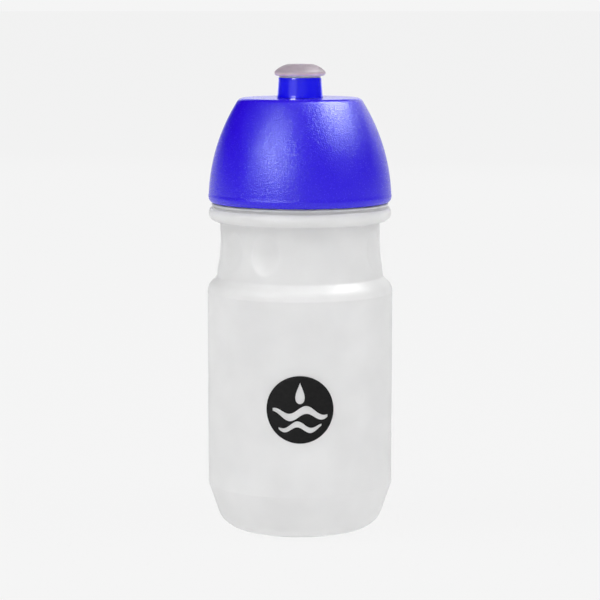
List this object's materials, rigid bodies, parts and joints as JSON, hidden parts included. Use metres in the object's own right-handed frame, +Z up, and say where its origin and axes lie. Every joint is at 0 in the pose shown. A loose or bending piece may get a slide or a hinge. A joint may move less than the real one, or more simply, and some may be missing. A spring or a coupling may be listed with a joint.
{
  "type": "sports squeeze bottle",
  "caption": "Squeezable sports drinks bottle with a gripped waist, a domed screw lid and a push-pull drinking valve.",
  "frame": {"origin": "centre of the base, on the surface that the bottle stands on", "axes": "+Z up along the bottle axis, towards the mouthpiece; -Y is the face with the print; +X to the right of that face"},
  "size_m": [0.074, 0.074, 0.1856],
  "materials": {
    "body_plastic": "milky translucent natural polyethylene, satin",
    "lid_plastic": "royal blue, fine spark-eroded grain",
    "sleeve_plastic": "royal blue, smooth",
    "mouthpiece_rubber": "soft matt translucent mauve-grey",
    "gasket_rubber": "soft white"
  },
  "bodies": {
    "bottle": {"bottle_body": "body_plastic"},
    "gasket_ring": {"lid_gasket": "gasket_rubber"},
    "lid": {"lid_cap": "lid_plastic", "spigot_seal": "gasket_rubber"},
    "valve": {"pull_sleeve": "sleeve_plastic", "mouthpiece": "mouthpiece_rubber"}
  },
  "joints": [
    {"name": "lid_lift", "type": "slide", "parent": "bottle", "child": "gasket_ring", "axis": [0, 0, 1], "range_m": [0, 0.0202]},
    {"name": "lid_turn", "type": "hinge", "parent": "gasket_ring", "child": "lid", "pos_m": [0, 0, 0.1481], "axis": [0, 0, 1], "range_deg": [0, 900]},
    {"name": "valve_pull", "type": "slide", "parent": "lid", "child": "valve", "axis": [0, 0, 1], "range_m": [0, 0.0065]}
  ],
  "couplings": [
    {"joint": "lid_lift", "follows": "lid_turn", "m_per_rad": 0.0012732}
  ]
}
